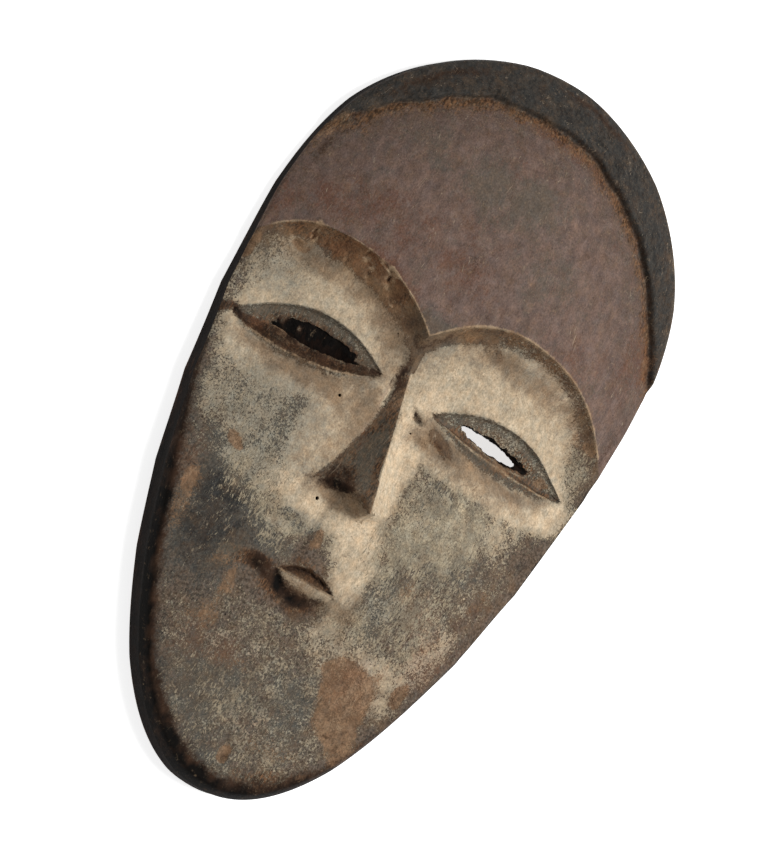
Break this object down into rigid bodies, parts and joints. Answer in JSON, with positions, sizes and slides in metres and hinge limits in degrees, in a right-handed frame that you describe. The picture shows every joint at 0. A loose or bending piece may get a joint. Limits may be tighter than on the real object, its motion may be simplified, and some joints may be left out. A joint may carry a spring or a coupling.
{
  "type": "miniature wooden face mask",
  "caption": "Small egg-shaped wooden face mask with arched brows, slit eyes, a wedge nose, a small mouth and a hollow back.",
  "frame": {"origin": "middle of the box round the mask, on the plane of its flat back rim", "axes": "+X to the viewer's right, +Y towards the crown, +Z out of the face; the mask lies face up"},
  "size_m": [0.084, 0.15, 0.018],
  "materials": {
    "carved_wood": "matt worn pigment over dark wood"
  },
  "bodies": {
    "root": {"mask": "carved_wood"}
  },
  "joints": []
}
